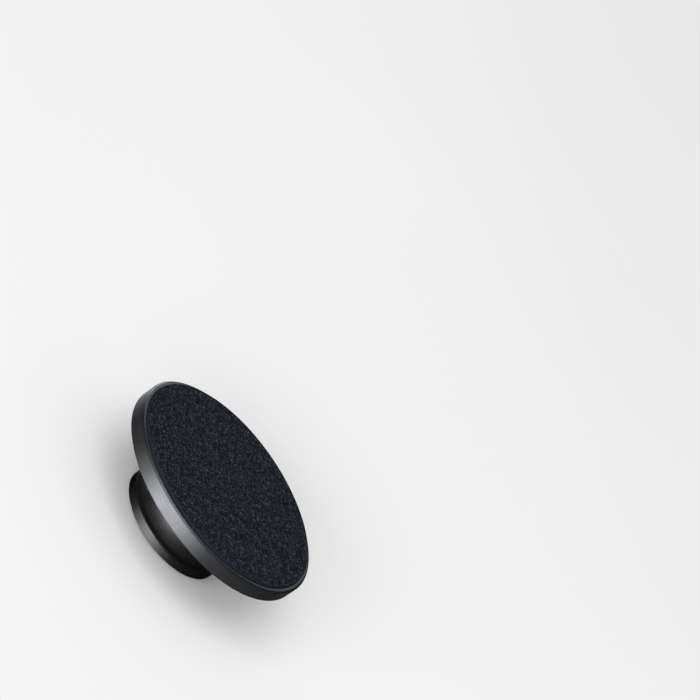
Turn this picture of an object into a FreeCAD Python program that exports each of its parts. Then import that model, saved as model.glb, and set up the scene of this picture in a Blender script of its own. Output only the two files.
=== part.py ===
import FreeCAD, Part
import math
import os
import Sketcher

# Magnetic phone holder: a thin round magnet head on a ball joint over a small round base.
# Z runs along the axis of head and base. The origin is the centre of the adhesive face under the base.

# Driving dimensions, in millimetres and degrees
driving_sizes = {
    "rim_wall": 1.65,
    "ledge_width": 0.45,
    "lip_slope": 5.0,
    "rim_bevel_width": 0.55,
    "rim_bevel_slope": 32.0,
    "back_edge_round": 0.5,
    "back_wall": 1.05,
    "pad_thickness": 0.93,
    "pad_proud": 0.65,
    "pad_edge_round": 0.25,
    "pad_gap": 0.12,
    "cover_thickness": 0.8,
    "cover_gap": 0.05,
    "carrier_web": 1.25,
    "carrier_gap": 0.1,
    "core_diameter": 6.0,
    "core_count": 8,
    "magnet_count": 16,
    "magnet_outer_diameter": 54.0,
    "magnet_width": 4.0,
    "magnet_thickness": 1.6,
    "magnet_spacing": 2.0,
    "magnet_gap": 0.05,
    "yoke_thickness": 0.4,
    "yoke_overlap": 0.4,
    "adhesive_thickness": 0.8,
    "adhesive_inset": 1.7,
    "flange_land": 1.55,
    "flange_thickness": 2.3,
    "flange_edge_round": 0.4,
    "flange_rim": 2.3,
    "foot_break": 0.2,
    "cove_radius": 4.2,
    "hub_wall": 2.4,
    "hub_edge_round": 0.6,
    "mouth_bevel": 0.7,
    "mouth_lip": 1.2,
    "plate_thickness": 1.1,
    "plate_gap": 0.05,
    "spring_inner_diameter": 6.8,
    "spring_thickness": 0.4,
    "spring_height": 1.0,
    "ball_diameter": 10.0,
    "ball_gap": 0.05,
    "seat_wall": 1.95,
    "ball_poke": 0.4,
    "seat_rise": 2.55,
    "seat_split": 0.2,
    "collar_foot": 1.25,
    "collar_wall": 0.6,
    "collar_drop": 0.3,
    "slit_count": 4,
    "slit_width": 0.6,
    "slit_floor": 0.8,
    "running_gap": 0.05,
    "neck_diameter": 4.8,
    "neck_length": 1.3,
    "neck_flare": 1.0,
    "shoulder_diameter": 10.0,
    "shoulder_thickness": 1.2,
    "shoulder_recess": 0.3,
    "shoulder_break": 0.15,
    "spigot_diameter": 5.2,
    "spigot_height": 0.5,
    "stud_thread_diameter": 2.68,
    "stud_screw_head_diameter": 5.5,
    "stud_screw_length": 6.0,
    "screw_land": 0.25,
    "boss_wall": 1.6,
    "plate_screw_count": 4,
    "plate_thread_diameter": 1.74,
    "plate_screw_head_diameter": 3.6,
    "plate_screw_bite": 1.35,
    "plate_screw_wall": 0.95,
    "thread_gap": 0.02,
    "screw_clearance": 0.25,
    "screw_sink": 0.05,
    "screw_fit": 0.03,
    "tip_room": 0.3,
    "drill_point_angle": 118.0,
    "recess_width": 0.55,
    "recess_depth": 0.6,
    "recess_share": 0.62,
}

doc = FreeCAD.newDocument("PhoneHolder")
sheet = doc.addObject("Spreadsheet::Sheet", "Sizes")
for row, (name, value) in enumerate(driving_sizes.items(), 1):
    sheet.set(f"A{row}", name)
    sheet.set(f"B{row}", str(value))
    sheet.setAlias(f"B{row}", name)
doc.recompute()


class Size:
    """A size held as a number and as the sheet expression that gives the same number."""

    def __init__(self, value, text):
        self.value = value
        self.text = text

    def __add__(self, other):
        other = as_size(other)
        return Size(self.value + other.value, f"({self.text} + {other.text})")

    def __sub__(self, other):
        other = as_size(other)
        return Size(self.value - other.value, f"({self.text} - {other.text})")

    def __mul__(self, other):
        other = as_size(other)
        return Size(self.value * other.value, f"({self.text} * {other.text})")

    def __truediv__(self, other):
        other = as_size(other)
        return Size(self.value / other.value, f"({self.text} / {other.text})")


def as_size(number):
    return number if isinstance(number, Size) else Size(number, str(number))


def cell(name):
    return Size(driving_sizes[name], f"Sizes.{name}")


def radius(name):
    return cell(name) / 2


def root(size):
    return Size(math.sqrt(size.value), f"sqrt({size.text})")


def sine(degrees):
    return Size(math.sin(math.radians(degrees.value)), f"sin({degrees.text} * 1 deg)")


def cosine(degrees):
    return Size(math.cos(math.radians(degrees.value)), f"cos({degrees.text} * 1 deg)")


def chord(sphere, height):
    """Radius of the circle that a sphere has at a height from its centre."""
    return root(sphere * sphere - height * height)


zero = as_size(0)
cross_slots = as_size(2)

# Radii in the base, from the ball outwards
ball_radius = radius("ball_diameter")
seat_sphere = ball_radius + cell("ball_gap")
seat_radius = ball_radius + cell("seat_wall")
seat_bore = seat_radius + cell("running_gap")
seat_depth = ball_radius - cell("ball_poke")
seat_opening = chord(seat_sphere, cell("seat_rise"))
mouth_radius = seat_opening + cell("collar_foot")
collar_radius = mouth_radius - cell("running_gap")
hub_radius = seat_bore + cell("hub_wall")
cove_edge = hub_radius + cell("cove_radius")
flange_radius = cove_edge + cell("flange_land") + cell("flange_edge_round")
plate_bore = flange_radius - cell("flange_rim")
plate_radius = plate_bore - cell("plate_gap")
neck_radius = radius("neck_diameter")
shoulder_radius = radius("shoulder_diameter")
spigot_radius = radius("spigot_diameter")

# Radii in the head, from the magnet ring outwards
magnet_outer = radius("magnet_outer_diameter")
magnet_inner = magnet_outer - cell("magnet_width")
yoke_outer = magnet_outer + cell("yoke_overlap")
yoke_inner = magnet_inner - cell("yoke_overlap")
carrier_radius = magnet_outer + cell("carrier_web")
shell_bore = carrier_radius + cell("carrier_gap")
head_radius = shell_bore + cell("rim_wall")
lip_radius = shell_bore + cell("ledge_width")

# Heights in the base, from the adhesive face upwards
flange_bottom = cell("adhesive_thickness")
flange_top = flange_bottom + cell("flange_thickness")
plate_top = flange_bottom + cell("plate_thickness")
spring_top = plate_top + cell("spring_height")
seat_bottom = spring_top + cell("running_gap")
ball_height = seat_bottom + seat_depth
seat_shoulder = ball_height + cell("seat_rise")
bore_top = seat_shoulder + cell("running_gap")
hub_top = bore_top + cell("mouth_lip")
collar_top = hub_top - cell("collar_drop")

# Heights in the stud and the head
neck_bottom = ball_height + chord(ball_radius, neck_radius)
neck_top = neck_bottom + cell("neck_length")
shoulder_bottom = neck_top + cell("neck_flare")
shoulder_top = shoulder_bottom + cell("shoulder_thickness")
spigot_top = shoulder_top + cell("spigot_height")
head_back = shoulder_top - cell("shoulder_recess")
head_floor = head_back + cell("back_wall")
magnet_bottom = head_floor + cell("yoke_thickness")
head_ledge = magnet_bottom + cell("magnet_thickness")
cover_top = head_ledge + cell("cover_thickness")
head_face = cover_top + cell("pad_thickness")
lip_top = head_face - cell("pad_proud")

# Countersunk stud screw, seated in the boss inside the shell
stud_head_radius = radius("stud_screw_head_diameter")
stud_thread = radius("stud_thread_diameter")
stud_hole = stud_thread + cell("screw_clearance")
stud_sink_radius = stud_head_radius + cell("screw_sink") + cell("screw_fit")
boss_radius = stud_sink_radius + cell("boss_wall")
boss_top = spigot_top + cell("screw_land") + stud_sink_radius - stud_hole
carrier_hole = boss_radius + cell("carrier_gap")
stud_screw_top = boss_top - cell("screw_sink")
stud_screw_tip = stud_screw_top - cell("stud_screw_length")

# Countersunk plate screws, driven upwards into the housing
plate_head_radius = radius("plate_screw_head_diameter")
plate_thread = radius("plate_thread_diameter")
plate_hole = plate_thread + cell("screw_clearance")
plate_sink_radius = plate_head_radius + cell("screw_sink") + cell("screw_fit")
plate_screw_circle = seat_bore + cell("plate_screw_wall") + plate_thread
plate_screw_bottom = flange_bottom + cell("screw_sink")
plate_screw_tip = flange_top + cell("plate_screw_bite")


def point(across, up):
    return FreeCAD.Vector(across.value, up.value, 0)


def arc_between(start, end, arc_radius, side):
    """Counterclockwise arc from start to end (side 1) or from end to start (side -1)."""
    middle = (start + end) * 0.5
    half = (end - start) * 0.5
    rise = math.sqrt(max(arc_radius ** 2 - half.Length ** 2, 0))
    left = FreeCAD.Vector(-half.y, half.x, 0).normalize()
    centre = middle + left * (rise * side)
    first, last = (start, end) if side > 0 else (end, start)
    first_angle = math.atan2(first.y - centre.y, first.x - centre.x)
    last_angle = math.atan2(last.y - centre.y, last.x - centre.x)
    circle = Part.Circle(centre, FreeCAD.Vector(0, 0, 1), arc_radius)
    return Part.ArcOfCircle(circle, first_angle, last_angle)


def bind(sketch, constraint, name, size):
    """Add one dimension to a sketch and tie it to the sheet."""
    index = sketch.addConstraint(constraint)
    sketch.renameConstraint(index, name)
    sketch.setExpression(f"Constraints.{name}", size.text)


def place_vertex(sketch, geometry, end, name, across, up):
    """Fix one vertex by its distances from the sketch origin."""
    if across.value == 0:
        sketch.addConstraint(Sketcher.Constraint("PointOnObject", geometry, end, -2))
    else:
        across_size = Sketcher.Constraint("DistanceX", -1, 1, geometry, end, across.value)
        bind(sketch, across_size, f"across_{name}", across)
    if up.value == 0:
        sketch.addConstraint(Sketcher.Constraint("PointOnObject", geometry, end, -1))
    else:
        up_size = Sketcher.Constraint("DistanceY", -1, 1, geometry, end, up.value)
        bind(sketch, up_size, f"up_{name}", up)


def new_sketch(body, plane, name):
    sketch = body.newObject("Sketcher::SketchObject", name)
    support = [item for item in body.Origin.OriginFeatures if item.Role == plane][0]
    sketch.AttachmentSupport = (support, "")
    sketch.MapMode = "FlatFace"
    return sketch


def draw_outline(sketch, outline):
    """Closed outline of (across, up) vertices, with an arc radius and side added where an arc leaves."""
    count = len(outline)
    starts = []
    ends = []
    for index, vertex in enumerate(outline):
        start = point(vertex[0], vertex[1])
        following = outline[(index + 1) % count]
        end = point(following[0], following[1])
        if len(vertex) == 2:
            geometry = sketch.addGeometry(Part.LineSegment(start, end), False)
            starts.append((geometry, 1))
            ends.append((geometry, 2))
        else:
            side = vertex[3]
            geometry = sketch.addGeometry(arc_between(start, end, vertex[2].value, side), False)
            starts.append((geometry, 1 if side > 0 else 2))
            ends.append((geometry, 2 if side > 0 else 1))
    for index in range(count):
        joined = Sketcher.Constraint("Coincident", *ends[index - 1], *starts[index])
        sketch.addConstraint(joined)
    for index, vertex in enumerate(outline):
        place_vertex(sketch, *starts[index], str(index + 1), vertex[0], vertex[1])
        if len(vertex) == 4:
            arc_size = Sketcher.Constraint("Radius", starts[index][0], vertex[2].value)
            bind(sketch, arc_size, f"round_{index + 1}", vertex[2])


def turned(name, outline, angle=None):
    """Body turned about Z from a half section; an angle makes it a sector, centred on X."""
    body = doc.addObject("PartDesign::Body", name)
    body.Label = name
    sketch = new_sketch(body, "XZ_Plane", f"{name}_section")
    draw_outline(sketch, outline)
    turn = body.newObject("PartDesign::Revolution", f"{name}_turn")
    turn.Profile = sketch
    turn.ReferenceAxis = (sketch, ["V_Axis"])
    if angle is None:
        turn.Angle = 360
    else:
        turn.Midplane = True
        turn.setExpression("Angle", angle.text)
    doc.recompute()
    return body


def repeat(body, feature, sketch, axis, count, angle=360):
    """Copy a feature around an axis of its sketch."""
    pattern = body.newObject("PartDesign::PolarPattern", f"{feature.Name}_copies")
    pattern.Originals = [feature]
    pattern.Axis = (sketch, [axis])
    pattern.Angle = angle
    pattern.setExpression("Occurrences", count.text)
    body.Tip = pattern


def cut_holes(body, name, outline, circle, count):
    """Holes turned from a half section about an axis on a circle, repeated around Z."""
    whole = body.Shape.Volume
    sketch = new_sketch(body, "XZ_Plane", name)
    moved = [(vertex[0] + circle, *vertex[1:]) for vertex in outline]
    draw_outline(sketch, moved)
    low = point(circle, outline[0][1])
    high = point(circle, outline[-1][1])
    axis = sketch.addGeometry(Part.LineSegment(low, high), True)
    place_vertex(sketch, axis, 1, "axis_low", circle, outline[0][1])
    place_vertex(sketch, axis, 2, "axis_high", circle, outline[-1][1])
    groove = body.newObject("PartDesign::Groove", f"{name}_cut")
    groove.Profile = sketch
    groove.ReferenceAxis = (sketch, ["Axis0"])
    groove.Angle = 360
    doc.recompute()
    repeat(body, groove, sketch, "V_Axis", count)
    doc.recompute()
    assert body.Shape.Volume < whole, f"{name} cut nothing"


def cut_sectors(body, name, outline, angle, count):
    """Pockets turned through part of a circle, repeated around Z."""
    whole = body.Shape.Volume
    sketch = new_sketch(body, "XZ_Plane", name)
    draw_outline(sketch, outline)
    groove = body.newObject("PartDesign::Groove", f"{name}_cut")
    groove.Profile = sketch
    groove.ReferenceAxis = (sketch, ["V_Axis"])
    groove.Midplane = True
    groove.setExpression("Angle", angle.text)
    doc.recompute()
    repeat(body, groove, sketch, "V_Axis", count)
    doc.recompute()
    assert body.Shape.Volume < whole, f"{name} cut nothing"


def cut_slots(body, name, start, end, width, level, depth, upwards, count, angle):
    """Straight slots along X, cut from a level up or down, repeated around Z."""
    whole = body.Shape.Volume
    sketch = new_sketch(body, "XY_Plane", name)
    sketch.setExpression("AttachmentOffset.Base.z", level.text)
    half = width / 2
    near = zero - half
    draw_outline(sketch, [(start, near), (end, near), (end, half), (start, half)])
    pocket = body.newObject("PartDesign::Pocket", f"{name}_cut")
    pocket.Profile = sketch
    pocket.setExpression("Length", depth.text)
    pocket.Reversed = upwards
    doc.recompute()
    repeat(body, pocket, sketch, "N_Axis", count, angle)
    doc.recompute()
    assert body.Shape.Volume < whole, f"{name} cut nothing"


def ring(inner, outer, bottom, top):
    """Half section of a plain ring or disc."""
    return [(inner, bottom), (outer, bottom), (outer, top), (inner, top)]


def make_adhesive_pad():
    outer = flange_radius - cell("adhesive_inset")
    return turned("adhesive_pad", ring(zero, outer, zero, flange_bottom))


def make_base_plate():
    plate = turned("base_plate", ring(zero, plate_radius, flange_bottom, plate_top))
    sink_top = flange_bottom + plate_sink_radius - plate_hole
    hole = [
        (zero, flange_bottom),
        (plate_sink_radius, flange_bottom),
        (plate_hole, sink_top),
        (plate_hole, plate_top),
        (zero, plate_top),
    ]
    cut_holes(plate, "plate_screw_holes", hole, plate_screw_circle, cell("plate_screw_count"))
    return plate


def make_base_housing():
    flange_round = cell("flange_edge_round")
    foot = cell("foot_break")
    cove = cell("cove_radius")
    hub_round = cell("hub_edge_round")
    bevel = cell("mouth_bevel")
    section = [
        (plate_bore, flange_bottom),
        (flange_radius - foot, flange_bottom),
        (flange_radius, flange_bottom + foot),
        (flange_radius, flange_top - flange_round, flange_round, 1),
        (flange_radius - flange_round, flange_top),
        (cove_edge, flange_top, cove, -1),
        (hub_radius, flange_top + cove),
        (hub_radius, hub_top - hub_round, hub_round, 1),
        (hub_radius - hub_round, hub_top),
        (mouth_radius + bevel, hub_top),
        (mouth_radius, hub_top - bevel),
        (mouth_radius, bore_top),
        (seat_bore, bore_top),
        (seat_bore, plate_top),
        (plate_bore, plate_top),
    ]
    housing = turned("base_housing", section)
    hole = ring(zero, plate_thread, plate_top, plate_screw_tip + cell("tip_room"))
    cut_holes(housing, "thread_holes", hole, plate_screw_circle, cell("plate_screw_count"))
    return housing


def make_disc_spring():
    inner = radius("spring_inner_diameter")
    outer = seat_radius - cell("running_gap")
    thickness = cell("spring_thickness")
    section = [
        (inner, spring_top - thickness),
        (outer, plate_top),
        (outer, plate_top + thickness),
        (inner, spring_top),
    ]
    return turned("disc_spring", section)


def make_lower_seat():
    half_split = cell("seat_split") / 2
    seat_top = ball_height - half_split
    opening = chord(seat_sphere, seat_depth)
    section = [
        (opening, seat_bottom),
        (seat_radius, seat_bottom),
        (seat_radius, seat_top),
        (chord(seat_sphere, half_split), seat_top, seat_sphere, -1),
    ]
    return turned("lower_seat", section)


def make_upper_seat():
    half_split = cell("seat_split") / 2
    low = ball_height + half_split
    section = [
        (chord(seat_sphere, half_split), low),
        (seat_radius, low),
        (seat_radius, seat_shoulder),
        (collar_radius, seat_shoulder),
        (collar_radius, collar_top),
        (collar_radius - cell("collar_wall"), collar_top),
        (seat_opening, seat_shoulder, seat_sphere, -1),
    ]
    seat = turned("upper_seat", section)
    slit_depth = collar_top - low - cell("slit_floor")
    slit_end = seat_radius + cell("running_gap")
    slit_width = cell("slit_width")
    slits = cell("slit_count")
    slot = (neck_radius, slit_end, slit_width)
    cut_slots(seat, "slits", *slot, collar_top, slit_depth, False, slits, 360)
    return seat


def make_ball_stud():
    flare = cell("neck_flare")
    edge = cell("shoulder_break")
    spigot_end = spigot_top - cell("running_gap")
    hole_bottom = stud_screw_tip - cell("tip_room")
    half_point = cell("drill_point_angle") / 2
    drill_cone = stud_thread * cosine(half_point) / sine(half_point)
    section = [
        (zero, ball_height - ball_radius, ball_radius, 1),
        (neck_radius, neck_bottom),
        (neck_radius, neck_top, flare, -1),
        (neck_radius + flare, shoulder_bottom),
        (shoulder_radius - edge, shoulder_bottom),
        (shoulder_radius, shoulder_bottom + edge),
        (shoulder_radius, shoulder_top),
        (spigot_radius, shoulder_top),
        (spigot_radius, spigot_end),
        (stud_thread, spigot_end),
        (stud_thread, hole_bottom),
        (zero, hole_bottom - drill_cone),
    ]
    return turned("ball_stud", section)


def make_stud_screw():
    shank = stud_thread - cell("thread_gap")
    section = [
        (zero, stud_screw_tip),
        (shank, stud_screw_tip),
        (shank, stud_screw_top - (stud_head_radius - shank)),
        (stud_head_radius, stud_screw_top),
        (zero, stud_screw_top),
    ]
    screw = turned("stud_screw", section)
    reach = stud_head_radius * cell("recess_share")
    width = cell("recess_width")
    depth = cell("recess_depth")
    slot = (zero - reach, reach, width)
    cut_slots(screw, "stud_recess", *slot, stud_screw_top, depth, False, cross_slots, 90)
    return screw


def make_plate_screws():
    """Screws with their heads down, gathered in one node."""
    shank = plate_thread - cell("thread_gap")
    section = [
        (zero, plate_screw_bottom),
        (plate_head_radius, plate_screw_bottom),
        (shank, plate_screw_bottom + plate_head_radius - shank),
        (shank, plate_screw_tip),
        (zero, plate_screw_tip),
    ]
    reach = plate_head_radius * cell("recess_share")
    width = cell("recess_width")
    depth = cell("recess_depth")
    screws = []
    for index in range(driving_sizes["plate_screw_count"]):
        name = f"plate_screw_{index + 1}"
        screw = turned(name, section)
        recess = f"{name}_recess"
        slot = (zero - reach, reach, width)
        cut_slots(screw, recess, *slot, plate_screw_bottom, depth, True, cross_slots, 90)
        angle = f"({index} * 360 deg / Sizes.plate_screw_count)"
        screw.setExpression("Placement.Base.x", f"{plate_screw_circle.text} * cos{angle}")
        screw.setExpression("Placement.Base.y", f"{plate_screw_circle.text} * sin{angle}")
        screws.append(screw)
    group = doc.addObject("Part::Compound", "plate_screws")
    group.Label = "plate_screws"
    group.Links = screws
    return group


def make_head_shell():
    lip_slope = cell("lip_slope")
    bevel_slope = cell("rim_bevel_slope")
    bevel_width = cell("rim_bevel_width")
    back = cell("back_edge_round")
    shoulder_bore = shoulder_radius + cell("running_gap")
    spigot_bore = spigot_radius + cell("running_gap")
    bevel_start = head_radius - bevel_width
    bevel_top = lip_top - (bevel_start - lip_radius) * sine(lip_slope) / cosine(lip_slope)
    wall_top = bevel_top - bevel_width * sine(bevel_slope) / cosine(bevel_slope)
    section = [
        (spigot_bore, shoulder_top),
        (shoulder_bore, shoulder_top),
        (shoulder_bore, head_back),
        (head_radius - back, head_back, back, 1),
        (head_radius, head_back + back),
        (head_radius, wall_top),
        (bevel_start, bevel_top),
        (lip_radius, lip_top),
        (lip_radius, head_ledge),
        (shell_bore, head_ledge),
        (shell_bore, head_floor),
        (boss_radius, head_floor),
        (boss_radius, boss_top),
        (stud_sink_radius, boss_top),
        (stud_hole, boss_top - (stud_sink_radius - stud_hole)),
        (stud_hole, spigot_top),
        (spigot_bore, spigot_top),
    ]
    return turned("head_shell", section)


def make_steel_yoke():
    return turned("steel_yoke", ring(yoke_inner, yoke_outer, head_floor, magnet_bottom))


def make_magnet_carrier():
    gap = cell("magnet_gap")
    section = [
        (carrier_hole, head_floor),
        (yoke_inner - gap, head_floor),
        (yoke_inner - gap, magnet_bottom),
        (yoke_outer + gap, magnet_bottom),
        (yoke_outer + gap, head_floor),
        (carrier_radius, head_floor),
        (carrier_radius, head_ledge),
        (carrier_hole, head_ledge),
    ]
    carrier = turned("magnet_carrier", section)
    pocket = ring(magnet_inner - gap, magnet_outer + gap, magnet_bottom, head_ledge)
    pocket_angle = magnet_angle() + gap_angle()
    cut_sectors(carrier, "magnet_pockets", pocket, pocket_angle, cell("magnet_count"))
    core = ring(zero, radius("core_diameter"), head_floor, head_ledge)
    core_circle = (carrier_hole + yoke_inner) / 2
    cut_holes(carrier, "core_holes", core, core_circle, cell("core_count"))
    return carrier


def magnet_angle():
    """Angle of one magnet, with the spacing measured as an angle."""
    return as_size(360) / cell("magnet_count") - cell("magnet_spacing")


def gap_angle():
    """Angle that the magnet gap takes at the inner radius, on both sides of a magnet."""
    return cell("magnet_gap") * 2 / magnet_inner * math.degrees(1)


def make_magnets():
    magnets = []
    section = ring(magnet_inner, magnet_outer, magnet_bottom, head_ledge)
    for index in range(driving_sizes["magnet_count"]):
        magnet = turned(f"magnet_{index + 1:02d}", section, magnet_angle())
        turn = FreeCAD.Rotation(FreeCAD.Vector(0, 0, 1), index)
        magnet.Placement = FreeCAD.Placement(FreeCAD.Vector(), turn)
        magnet.setExpression("Placement.Rotation.Angle", f"{index} * 360 deg / Sizes.magnet_count")
        magnets.append(magnet)
    return magnets


def make_cover_plate():
    return turned("cover_plate", ring(zero, lip_radius - cell("cover_gap"), head_ledge, cover_top))


def make_face_pad():
    outer = lip_radius - cell("pad_gap")
    edge = cell("pad_edge_round")
    section = [
        (zero, cover_top),
        (outer, cover_top),
        (outer, head_face - edge, edge, 1),
        (outer - edge, head_face),
        (zero, head_face),
    ]
    return turned("face_pad", section)


pieces = [
    make_adhesive_pad(),
    make_base_plate(),
    make_base_housing(),
    make_plate_screws(),
    make_disc_spring(),
    make_lower_seat(),
    make_upper_seat(),
    make_ball_stud(),
    make_stud_screw(),
    make_head_shell(),
    make_steel_yoke(),
    make_magnet_carrier(),
    *make_magnets(),
    make_cover_plate(),
    make_face_pad(),
]
doc.recompute()

for item in doc.Objects:
    assert not {"Invalid", "Error"} & set(item.State), f"{item.Label} failed: {item.State}"
for item in doc.findObjects("Sketcher::SketchObject"):
    assert item.FullyConstrained, f"{item.Label} is not fully constrained"
for piece in pieces:
    assert not piece.Shape.isNull() and piece.Shape.isValid(), f"{piece.Label} has no valid shape"

os.makedirs("parts", exist_ok=True)
for piece in pieces:
    piece.Shape.exportStep(f"parts/{piece.Label}.step")
    print(f"{piece.Label}: {len(piece.Shape.Solids)} solid, {piece.Shape.Volume:.1f} mm3")
print(f"ball centre {ball_height.value:.4f}, shoulder {shoulder_top.value:.4f}")
print(f"head face {head_face.value:.4f}")
print(f"head radius {head_radius.value:.3f}, flange radius {flange_radius.value:.3f}")
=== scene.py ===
import math
import bpy
from mathutils import Matrix, Vector, noise


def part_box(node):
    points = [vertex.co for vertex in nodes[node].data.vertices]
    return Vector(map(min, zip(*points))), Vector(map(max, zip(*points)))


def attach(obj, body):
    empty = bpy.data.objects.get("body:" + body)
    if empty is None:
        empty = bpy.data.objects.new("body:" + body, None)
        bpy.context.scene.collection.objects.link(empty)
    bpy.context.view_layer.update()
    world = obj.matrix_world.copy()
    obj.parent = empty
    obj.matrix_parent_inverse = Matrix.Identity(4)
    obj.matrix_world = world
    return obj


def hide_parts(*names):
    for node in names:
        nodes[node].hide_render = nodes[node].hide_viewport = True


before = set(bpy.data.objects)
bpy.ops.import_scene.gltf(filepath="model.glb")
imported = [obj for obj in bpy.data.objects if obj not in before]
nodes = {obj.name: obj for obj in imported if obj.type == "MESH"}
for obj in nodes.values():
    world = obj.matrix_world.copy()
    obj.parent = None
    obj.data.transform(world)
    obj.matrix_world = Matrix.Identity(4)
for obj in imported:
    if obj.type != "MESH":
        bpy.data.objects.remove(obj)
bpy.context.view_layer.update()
scene = bpy.context.scene
scene.view_settings.view_transform = "Standard"


# Small helpers for node trees and meshes
noiseBand = (0.3, 0.7)  # where nearly all of a noise lies
pairBand = (0.7, 1.3)  # the same for two noises added


def newFinish(name):
    finish = bpy.data.materials.new(name)
    finish.use_nodes = True
    tree = finish.node_tree
    tree.nodes.clear()
    out = tree.nodes.new("ShaderNodeOutputMaterial")
    shader = tree.nodes.new("ShaderNodeBsdfPrincipled")
    tree.links.new(shader.outputs["BSDF"], out.inputs["Surface"])
    return finish, tree, shader


def addNode(tree, kind, values=None, **settings):
    node = tree.nodes.new(kind)
    for name, value in settings.items():
        setattr(node, name, value)
    for name, value in (values or {}).items():
        node.inputs[name].default_value = value
    return node


def grain(tree, vector, size, detail=2.0, roughness=0.5):
    values = {"Scale": 1.0 / size, "Detail": detail, "Roughness": roughness}
    cloud = addNode(tree, "ShaderNodeTexNoise", values)
    tree.links.new(vector, cloud.inputs["Vector"])
    return cloud.outputs["Fac"]


def spread(tree, value, low, high, bottom=0.0, top=1.0):
    values = {"From Min": low, "From Max": high, "To Min": bottom, "To Max": top}
    span = addNode(tree, "ShaderNodeMapRange", values)
    tree.links.new(value, span.inputs["Value"])
    return span.outputs["Result"]


def blendColour(tree, share, first, second):
    mix = addNode(tree, "ShaderNodeMix", data_type="RGBA")
    mix.inputs["A"].default_value = (*first, 1.0)
    mix.inputs["B"].default_value = (*second, 1.0)
    tree.links.new(share, mix.inputs["Factor"])
    return mix.outputs["Result"]


def sumOf(tree, first, second, share=1.0):
    scaled = addNode(tree, "ShaderNodeMath", operation="MULTIPLY_ADD")
    scaled.inputs[1].default_value = share
    tree.links.new(second, scaled.inputs[0])
    tree.links.new(first, scaled.inputs[2])
    return scaled.outputs["Value"]


def setColour(tree, shader, colour):
    tree.links.new(colour, shader.inputs["Base Color"])


def setRoughness(tree, shader, roughness):
    tree.links.new(roughness, shader.inputs["Roughness"])


def addBump(tree, shader, height, depth, strength):
    bump = addNode(tree, "ShaderNodeBump", {"Strength": strength, "Distance": depth})
    tree.links.new(height, bump.inputs["Height"])
    tree.links.new(bump.outputs["Normal"], shader.inputs["Normal"])


def ownCoords(tree):
    return addNode(tree, "ShaderNodeTexCoord").outputs["Object"]


def scaledVector(tree, vector, scale):
    scaled = addNode(tree, "ShaderNodeVectorMath", {"Scale": scale}, operation="SCALE")
    tree.links.new(vector, scaled.inputs[0])
    return scaled.outputs["Vector"]


def latheCoords(tree, line, drift):
    # radius and height counted in tool lines, with a slow drift round the axis
    place = ownCoords(tree)
    flat = addNode(tree, "ShaderNodeVectorMath", operation="MULTIPLY")
    flat.inputs[1].default_value = (1.0, 1.0, 0.0)
    tree.links.new(place, flat.inputs[0])
    radius = addNode(tree, "ShaderNodeVectorMath", operation="LENGTH")
    tree.links.new(flat.outputs["Vector"], radius.inputs[0])
    heading = addNode(tree, "ShaderNodeVectorMath", operation="NORMALIZE")
    tree.links.new(flat.outputs["Vector"], heading.inputs[0])
    height = addNode(tree, "ShaderNodeSeparateXYZ")
    tree.links.new(place, height.inputs["Vector"])
    lines = addNode(tree, "ShaderNodeCombineXYZ")
    tree.links.new(radius.outputs["Value"], lines.inputs["X"])
    tree.links.new(height.outputs["Z"], lines.inputs["Y"])
    counted = scaledVector(tree, lines.outputs["Vector"], 1.0 / line)
    slow = scaledVector(tree, heading.outputs["Vector"], drift)
    total = addNode(tree, "ShaderNodeVectorMath", operation="ADD")
    tree.links.new(counted, total.inputs[0])
    tree.links.new(slow, total.inputs[1])
    return total.outputs["Vector"], place


def wear(name, finish):
    slots = nodes[name].data.materials
    slots.clear()
    slots.append(finish)


# Camera: the face leans 64 degrees off the line of sight and the picture is rolled over
cameraView = {
    "lens": 171.95,
    "sensor": 36.0,
    "frame": 700.0,  # pixels along each side of the picture
    "distance": 0.811,
    "elevation": 25.88,
    "roll": 55.18,
    "aim": (0.0, 0.0, 0.01974),  # a point on the axis, just under the face
    "pixel": (229.40, 484.72),  # where that point sits in the frame
    "clip": (0.01, 50.0),
}


def addCamera(spec):
    data = bpy.data.cameras.new("photoCamera")
    data.lens = spec["lens"]
    data.sensor_width = spec["sensor"]
    data.clip_start, data.clip_end = spec["clip"]
    camera = bpy.data.objects.new("photoCamera", data)
    scene.collection.objects.link(camera)
    rise = math.radians(spec["elevation"])
    back = Vector((0.0, -math.cos(rise), math.sin(rise)))
    level = (-back).to_track_quat("-Z", "Y").to_matrix()
    rolled = level @ Matrix.Rotation(math.radians(spec["roll"]), 3, "Z")
    focal = spec["lens"] / spec["sensor"] * spec["frame"]
    middle = spec["frame"] / 2.0
    across, down = spec["pixel"]
    sight = Vector((across - middle, middle - down, -focal))
    swing = Vector((0.0, 0.0, -1.0)).rotation_difference(sight).to_matrix()
    camera.location = Vector(spec["aim"]) + back * spec["distance"]
    camera.rotation_mode = "QUATERNION"
    camera.rotation_quaternion = (rolled @ swing.transposed()).to_quaternion()
    scene.camera = camera


addCamera(cameraView)
print("camera set")


# Floor, lamps and world
floorLook = {
    "pale": (0.86, 0.86, 0.865),
    "shade": (0.83, 0.83, 0.835),
    "reach": 12.0,
    "drop": 0.00004,  # a hair under the mounting face
    "mottle": 0.25,
    "roughness": 0.95,
}


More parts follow.
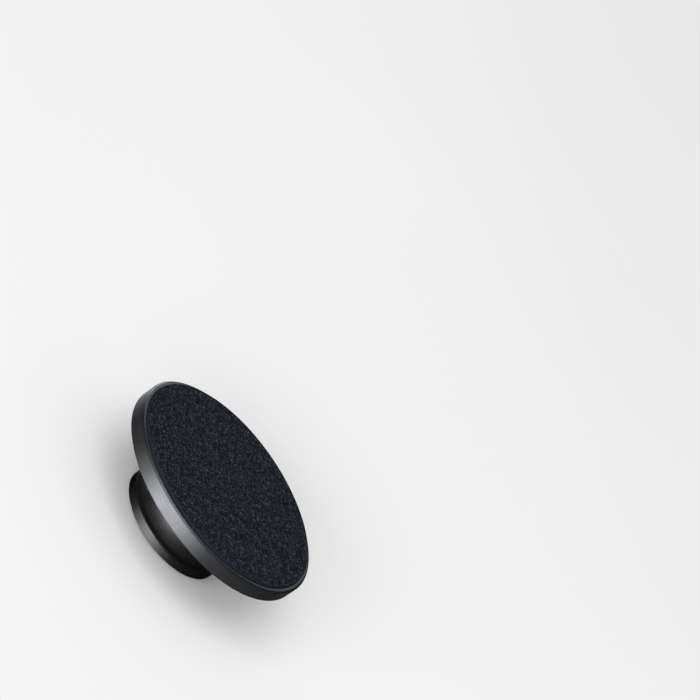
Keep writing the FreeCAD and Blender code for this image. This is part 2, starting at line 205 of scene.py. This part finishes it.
def addFloor(spec):
    reach, level = spec["reach"], -spec["drop"]
    corners = [(x * reach, y * reach, level) for x, y in ((-1, -1), (1, -1), (1, 1), (-1, 1))]
    mesh = bpy.data.meshes.new("floor")
    mesh.from_pydata(corners, [], [(0, 1, 2, 3)])
    floor = bpy.data.objects.new("floor", mesh)
    scene.collection.objects.link(floor)
    finish, tree, shader = newFinish("paleFloor")
    share = spread(tree, grain(tree, ownCoords(tree), spec["mottle"]), *noiseBand)
    setColour(tree, shader, blendColour(tree, share, spec["pale"], spec["shade"]))
    shader.inputs["Roughness"].default_value = spec["roughness"]
    shader.inputs["Specular IOR Level"].default_value = 0.0
    mesh.materials.append(finish)


lampPlan = {
    "keySoftbox": {
        "place": (-1.20, -3.84, 4.46),
        "aim": (0.0, 0.0, 0.01),
        "size": (5.2, 5.2),
        "power": 250.0,
        "hardOnly": False,
    },
    "frontFill": {
        "place": (-0.60, -5.00, 1.30),
        "aim": (0.0, 0.0, 0.01),
        "size": (5.0, 1.6),
        "power": 300.0,
        "hardOnly": False,
    },
    "lowStrip": {
        "place": (-1.45, -5.82, 0.18),
        "aim": (0.0, 0.0, 0.012),
        "size": (4.4, 0.32),
        "power": 1460.0,
        "hardOnly": True,
    },
    "wideStrip": {
        "place": (-1.46, -5.88, 0.18),
        "aim": (0.0, 0.0, 0.012),
        "size": (11.0, 0.32),
        "power": 1840.0,
        "hardOnly": True,
    },
    "backStrip": {
        "place": (-2.8, 4.4, 0.16),
        "aim": (0.0, 0.0, 0.012),
        "size": (1.8, 0.28),
        "power": 1050.0,
        "hardOnly": True,
    },
}

softNames = ("face_pad", "adhesive_pad")
# the strips light these alone, so cloth and floor keep their tone
hardPieces = bpy.data.collections.new("hardPieces")
for name, piece in nodes.items():
    if name not in softNames:
        hardPieces.objects.link(piece)


def addLamp(name, spec):
    data = bpy.data.lights.new(name, "AREA")
    data.shape = "RECTANGLE"
    data.size, data.size_y = spec["size"]
    data.energy = spec["power"]
    lamp = bpy.data.objects.new(name, data)
    scene.collection.objects.link(lamp)
    lamp.location = spec["place"]
    lamp.rotation_mode = "QUATERNION"
    lamp.rotation_quaternion = (Vector(spec["aim"]) - Vector(spec["place"])).to_track_quat("-Z", "Y")
    lamp.visible_camera = False
    if spec["hardOnly"]:
        lamp.light_linking.receiver_collection = hardPieces


worldLook = {"colour": (1.0, 1.0, 1.0), "strength": 0.42}


def addWorld(spec):
    world = bpy.data.worlds.new("studio")
    world.use_nodes = True
    sky = world.node_tree.nodes["Background"]
    sky.inputs["Color"].default_value = (*spec["colour"], 1.0)
    sky.inputs["Strength"].default_value = spec["strength"]
    scene.world = world


addFloor(floorLook)
for name, spec in lampPlan.items():
    addLamp(name, spec)
addWorld(worldLook)
print("floor, lamps and world set")


# Black anodised metal: satin wall and cut lip on the head, satin flange and blasted hub on the base
anodisedFinishes = {
    "satinRim": {
        "deep": (0.0306, 0.0315, 0.0333),
        "worn": (0.0444, 0.0455, 0.0481),
        "roughness": (0.50, 0.58),
        "edge": 0.40,
        "stretch": 0.76,
        "line": 0.00011,
        "bump": 0.10,
    },
    "cutLip": {
        "deep": (0.118, 0.128, 0.145),
        "worn": (0.150, 0.162, 0.183),
        "roughness": (0.27, 0.35),
        "edge": 0.70,
        "stretch": 0.2,
        "line": 0.00009,
        "bump": 0.06,
    },
    "satinFlange": {
        "deep": (0.0152, 0.0151, 0.0156),
        "worn": (0.0235, 0.0234, 0.0240),
        "roughness": (0.46, 0.54),
        "edge": 0.32,
        "stretch": 0.75,
        "line": 0.00012,
        "bump": 0.10,
    },
    "blastedHub": {
        "deep": (0.0181, 0.0181, 0.0190),
        "worn": (0.0275, 0.0275, 0.0287),
        "roughness": (0.57, 0.67),
        "edge": 0.48,
        "stretch": 0.35,
        "line": 0.00014,
        "bump": 0.14,
    },
}
anodisedGrain = {
    "drift": 5.0,
    "blast": 0.00007,
    "blastShare": 0.6,
    "cloud": 0.006,
    "band": (0.5, 1.1),  # where tool lines and blast add up
    "lineShare": 0.5,
    "depth": 0.00002,
}
acrossLines = 0.25  # a quarter turn: highlights are drawn out across the tool lines


def anodised(name, spec, marks):
    finish, tree, shader = newFinish(name)
    lathe, place = latheCoords(tree, spec["line"], marks["drift"])
    lines = grain(tree, lathe, 1.0, detail=3.0, roughness=0.6)
    blast = grain(tree, place, marks["blast"], roughness=0.6)
    cloud = grain(tree, place, marks["cloud"], detail=3.0, roughness=0.55)
    share = spread(tree, sumOf(tree, lines, cloud), *pairBand)
    setColour(tree, shader, blendColour(tree, share, spec["deep"], spec["worn"]))
    texture = sumOf(tree, lines, blast, marks["blastShare"])
    setRoughness(tree, shader, spread(tree, texture, *marks["band"], *spec["roughness"]))
    edge = spec["edge"]  # the black film keeps the edges dark
    shader.inputs["Metallic"].default_value = 1.0
    shader.inputs["Specular Tint"].default_value = (edge, edge, edge, 1.0)
    shader.inputs["Anisotropic"].default_value = spec["stretch"]
    shader.inputs["Anisotropic Rotation"].default_value = acrossLines
    turn = addNode(tree, "ShaderNodeTangent", direction_type="RADIAL", axis="Z")
    tree.links.new(turn.outputs["Tangent"], shader.inputs["Tangent"])
    relief = sumOf(tree, blast, lines, marks["lineShare"])
    addBump(tree, shader, relief, marks["depth"], spec["bump"])
    return finish


def splitFinish(name, first, second, takesSecond):
    mesh = nodes[name].data
    wear(name, first)
    mesh.materials.append(second)
    for face in mesh.polygons:
        face.material_index = 1 if takesSecond(face) else 0


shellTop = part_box("head_shell")[1].z
lipDepth = 0.0003
lipLevel = 0.95  # the lip is what faces up this squarely
flangeTop = 0.00305  # the satin band ends at the edge of the flat land


def onLip(face):
    return face.center.z > shellTop - lipDepth and face.normal.z > lipLevel


def aboveFlange(face):
    return face.center.z > flangeTop


metal = {name: anodised(name, spec, anodisedGrain) for name, spec in anodisedFinishes.items()}
splitFinish("head_shell", metal["satinRim"], metal["cutLip"], onLip)
splitFinish("base_housing", metal["satinFlange"], metal["blastedHub"], aboveFlange)
print("anodised metal done")


# Suede face: a disc of hexagonal rings with a raised nap
suedeFace = {
    "rings": 164,
    "edgeRound": 0.00025,
    "edgeBends": (30, 60, 90),
    "depth": 0.00010,
    "tuft": 0.00046,
    "fibre": 0.00030,
    "drift": 0.0035,
    "layers": (0.00071, 0.00193, 0.0031),  # where tuft, fibre and drift are cut from their noise
    "shares": (0.6, 0.5, 0.06),
    "cutNap": -0.8,  # the cut edge shows no nap
    "fine": 0.00019,
    "fineShare": 0.9,
    "speck": 0.00042,
    "speckShare": 0.6,
    "pile": (0.55, 1.95),  # deepest and highest pile that the tones span
    "cut": (0.0130, 0.0155, 0.0200),
    # tones by pile height: the dark low pile is painted shade in the hollows, the tip tone a painted
    # glint on the highest pile, mid and fleck partly fibre flecks
    "dark": (0.0040, 0.0053, 0.0071),
    "mid": (0.0172, 0.0202, 0.0262),
    "fleck": (0.066, 0.0725, 0.084),
    "glintTip": (0.15, 0.157, 0.170),
    "stops": ((0.03, "dark"), (0.22, "dark"), (0.62, "mid"), (0.95, "fleck")),
    "roughness": (0.86, 0.98),
    "reliefShare": 0.5,
    "bump": 0.4,
    "bumpDepth": 0.00006,
}


def suedeFinish(spec):
    finish, tree, shader = newFinish("blackSuede")
    weave = ownCoords(tree)
    nap = addNode(tree, "ShaderNodeAttribute", attribute_name="nap").outputs["Fac"]
    fine = grain(tree, weave, spec["fine"], roughness=0.6)
    speck = grain(tree, weave, spec["speck"], detail=1.0)
    pile = sumOf(tree, nap, fine, spec["fineShare"])
    pile = sumOf(tree, pile, speck, spec["speckShare"])
    # colour follows pile height: painted shade in the low pile, painted glints on the highest tips,
    # fibre flecks from the noise between
    ramp = addNode(tree, "ShaderNodeValToRGB")
    stops = ramp.color_ramp.elements
    stops[0].color = (*spec["cut"], 1.0)
    stops[1].color = (*spec["glintTip"], 1.0)
    for place, tone in spec["stops"]:
        stops.new(place).color = (*spec[tone], 1.0)
    tree.links.new(spread(tree, pile, *spec["pile"]), ramp.inputs["Fac"])
    setColour(tree, shader, ramp.outputs["Color"])
    setRoughness(tree, shader, spread(tree, fine, *noiseBand, *spec["roughness"]))
    shader.inputs["Specular IOR Level"].default_value = 0.0
    relief = sumOf(tree, fine, speck, spec["reliefShare"])
    addBump(tree, shader, relief, spec["bumpDepth"], spec["bump"])
    return finish


def napHeight(x, y, spec):
    tuftLayer, fibreLayer, driftLayer = spec["layers"]
    tuftShare, fibreShare, driftShare = spec["shares"]
    tuft = noise.noise(Vector((x, y, tuftLayer)) / spec["tuft"])
    fibre = noise.noise(Vector((y, x, fibreLayer)) / spec["fibre"])
    drift = noise.noise(Vector((x, y, driftLayer)) / spec["drift"])
    return max(0.0, min(1.0, 0.5 + tuftShare * tuft + fibreShare * fibre + driftShare * drift))


def buildSuede(spec):
    low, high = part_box("face_pad")
    radius = (high.x - low.x) / 2.0
    rings, sides = spec["rings"], 6
    flatRadius = radius - spec["edgeRound"]
    points = [(0.0, 0.0, high.z - spec["depth"] * 0.5)]
    heights = [0.5]
    faces = []
    starts = [0]
    for ring in range(1, rings + 1):
        starts.append(len(points))
        reach = flatRadius * ring / rings
        for step in range(sides * ring):
            turn = 2.0 * math.pi * step / (sides * ring)
            x = reach * math.cos(turn)
            y = reach * math.sin(turn)
            nap = napHeight(x, y, spec)
            points.append((x, y, high.z - spec["depth"] * (1.0 - nap)))
            heights.append(nap)
    for step in range(sides):
        faces.append((0, 1 + step, 1 + (step + 1) % sides))
    for ring in range(1, rings):
        inner, outer = starts[ring], starts[ring + 1]
        count = sides * ring
        for side in range(sides):
            for step in range(ring + 1):
                a = inner + (side * ring + step) % count
                b = outer + (side * (ring + 1) + step) % (count + sides)
                c = outer + (side * (ring + 1) + step + 1) % (count + sides)
                faces.append((a, b, c))
                if step < ring:
                    faces.append((a, c, inner + (side * ring + step + 1) % count))
    wall = []  # the rounded edge and the cut side, each a reach and a level
    for bend in spec["edgeBends"]:
        lean = math.radians(bend)
        reach = flatRadius + spec["edgeRound"] * math.sin(lean)
        wall.append((reach, high.z - spec["edgeRound"] * (1.0 - math.cos(lean))))
    wall.append((radius, low.z))
    count = sides * rings
    previous = starts[rings]
    for reach, level in wall:
        first = len(points)
        for step in range(count):
            turn = 2.0 * math.pi * step / count
            points.append((reach * math.cos(turn), reach * math.sin(turn), level))
            heights.append(spec["cutNap"])
        for step in range(count):
            after = (step + 1) % count
            faces.append((previous + step, first + step, first + after, previous + after))
        previous = first
    middle = len(points)
    points.append((0.0, 0.0, low.z))
    heights.append(spec["cutNap"])
    for step in range(count):
        faces.append((middle, previous + (step + 1) % count, previous + step))
    mesh = bpy.data.meshes.new("suede_face")
    mesh.from_pydata(points, [], faces)
    mesh.attributes.new("nap", "FLOAT", "POINT").data.foreach_set("value", heights)
    mesh.shade_smooth()
    piece = bpy.data.objects.new("suede_face", mesh)
    scene.collection.objects.link(piece)
    mesh.materials.append(suedeFinish(spec))
    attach(piece, "head")
    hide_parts("face_pad")
    return piece


suede = buildSuede(suedeFace)
print("suede face done:", len(suede.data.polygons), "faces")


# Foam pad under the base: a disc with an open-celled edge
foamPad = {
    "steps": 720,
    "levels": 9,
    "pit": 0.00009,
    "cell": 0.00022,
    "dark": (0.005, 0.005, 0.006),
    "light": (0.016, 0.016, 0.017),
    "roughness": (0.86, 0.94),
    "gloss": 0.25,
    "grain": 0.0004,
    "bump": 0.6,
    "bumpDepth": 0.00005,
}


def foamFinish(spec):
    finish, tree, shader = newFinish("blackFoam")
    place = ownCoords(tree)
    values = {"Scale": 1.0 / spec["cell"], "Randomness": 1.0}
    cells = addNode(tree, "ShaderNodeTexVoronoi", values)
    tree.links.new(place, cells.inputs["Vector"])
    pores = spread(tree, cells.outputs["Distance"], 0.1, 0.6)
    setColour(tree, shader, blendColour(tree, pores, spec["light"], spec["dark"]))
    patches = grain(tree, place, spec["grain"])
    setRoughness(tree, shader, spread(tree, patches, *noiseBand, *spec["roughness"]))
    shader.inputs["Specular IOR Level"].default_value = spec["gloss"]
    addBump(tree, shader, pores, spec["bumpDepth"], spec["bump"])
    return finish


def buildFoam(spec):
    low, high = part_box("adhesive_pad")
    radius = (high.x - low.x) / 2.0
    steps, levels = spec["steps"], spec["levels"]
    points = []
    faces = []
    for level in range(levels + 1):
        height = low.z + (high.z - low.z) * level / levels
        inside = 0.0 if level in (0, levels) else 1.0
        for step in range(steps):
            turn = 2.0 * math.pi * step / steps
            x, y = radius * math.cos(turn), radius * math.sin(turn)
            pit = 0.5 + 0.5 * noise.noise(Vector((x, y, height)) / spec["cell"])
            shrink = 1.0 - inside * spec["pit"] * pit / radius
            points.append((x * shrink, y * shrink, height))
    for level in range(levels):
        for step in range(steps):
            after = (step + 1) % steps
            a, b = level * steps, (level + 1) * steps
            faces.append((a + step, a + after, b + after, b + step))
    for height, ring, flip in ((low.z, 0, True), (high.z, levels * steps, False)):
        middle = len(points)
        points.append((0.0, 0.0, height))
        for step in range(steps):
            pair = (ring + step, ring + (step + 1) % steps)
            faces.append((middle, *reversed(pair)) if flip else (middle, *pair))
    mesh = bpy.data.meshes.new("foam_pad")
    mesh.from_pydata(points, [], faces)
    mesh.materials.append(foamFinish(spec))
    piece = bpy.data.objects.new("foam_pad", mesh)
    scene.collection.objects.link(piece)
    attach(piece, "base")
    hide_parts("adhesive_pad")
    return piece


foam = buildFoam(foamPad)
print("foam pad done:", len(foam.data.polygons), "faces")


# Steels and plating: turned or rolled metal, each with its own tone
screwSteel = {
    "deep": (0.30, 0.30, 0.31),
    "worn": (0.46, 0.46, 0.47),
    "roughness": (0.26, 0.40),
    "line": 0.00014,
}
steelFinishes = {
    "ball_stud": {
        "deep": (0.060, 0.060, 0.062),
        "worn": (0.095, 0.095, 0.098),
        "roughness": (0.24, 0.34),
        "line": 0.00010,
    },
    "stud_screw": screwSteel,
    "plate_screws": screwSteel,
    "disc_spring": {
        "deep": (0.22, 0.21, 0.20),
        "worn": (0.38, 0.37, 0.35),
        "roughness": (0.28, 0.42),
        "line": 0.00018,
    },
    "base_plate": {
        "deep": (0.40, 0.41, 0.42),
        "worn": (0.56, 0.57, 0.58),
        "roughness": (0.34, 0.50),
        "line": 0.00025,
    },
    "steel_yoke": {
        "deep": (0.42, 0.42, 0.43),
        "worn": (0.58, 0.58, 0.59),
        "roughness": (0.30, 0.46),
        "line": 0.00030,
    },
}
magnetPlating = {
    "deep": (0.52, 0.50, 0.47),
    "worn": (0.66, 0.64, 0.61),
    "roughness": (0.22, 0.36),
    "line": 0.0008,
}
steelGrain = {"drift": 4.0, "cloud": 0.002, "depth": 0.00002, "bump": 0.12}


def brightSteel(name, spec, marks):
    finish, tree, shader = newFinish(name)
    lathe, place = latheCoords(tree, spec["line"], marks["drift"])
    lines = grain(tree, lathe, 1.0, detail=3.0, roughness=0.6)
    cloud = grain(tree, place, marks["cloud"], detail=3.0, roughness=0.55)
    share = spread(tree, sumOf(tree, lines, cloud), *pairBand)
    setColour(tree, shader, blendColour(tree, share, spec["deep"], spec["worn"]))
    setRoughness(tree, shader, spread(tree, lines, *noiseBand, *spec["roughness"]))
    shader.inputs["Metallic"].default_value = 1.0
    addBump(tree, shader, lines, marks["depth"], marks["bump"])
    return finish


for name, spec in steelFinishes.items():
    wear(name, brightSteel(name + "Steel", spec, steelGrain))

plating = brightSteel("nickelPlating", magnetPlating, steelGrain)
for name in sorted(nodes):
    if name.startswith("magnet_") and name != "magnet_carrier":
        wear(name, plating)
print("steels and plating done")


# Moulded plastics: ball seats, magnet carrier and cover
seatPlastic = {
    "dark": (0.012, 0.012, 0.013),
    "light": (0.026, 0.026, 0.028),
    "roughness": (0.42, 0.58),
    "grain": 0.00025,
}
plasticFinishes = {
    "upper_seat": seatPlastic,
    "lower_seat": seatPlastic,
    "magnet_carrier": {
        "dark": (0.020, 0.020, 0.022),
        "light": (0.040, 0.040, 0.042),
        "roughness": (0.45, 0.62),
        "grain": 0.00035,
    },
    "cover_plate": {
        "dark": (0.018, 0.018, 0.020),
        "light": (0.034, 0.034, 0.036),
        "roughness": (0.50, 0.66),
        "grain": 0.00030,
    },
}
mouldMarks = {"flow": 0.004, "depth": 0.00004, "bump": 0.2}


def mouldedPlastic(name, spec, marks):
    finish, tree, shader = newFinish(name)
    place = ownCoords(tree)
    spark = grain(tree, place, spec["grain"], detail=3.0, roughness=0.6)
    flow = grain(tree, place, marks["flow"])
    share = spread(tree, sumOf(tree, spark, flow), *pairBand)
    setColour(tree, shader, blendColour(tree, share, spec["dark"], spec["light"]))
    setRoughness(tree, shader, spread(tree, spark, *noiseBand, *spec["roughness"]))
    addBump(tree, shader, spark, marks["depth"], marks["bump"])
    return finish


for name, spec in plasticFinishes.items():
    wear(name, mouldedPlastic(name + "Plastic", spec, mouldMarks))
print("plastics done")
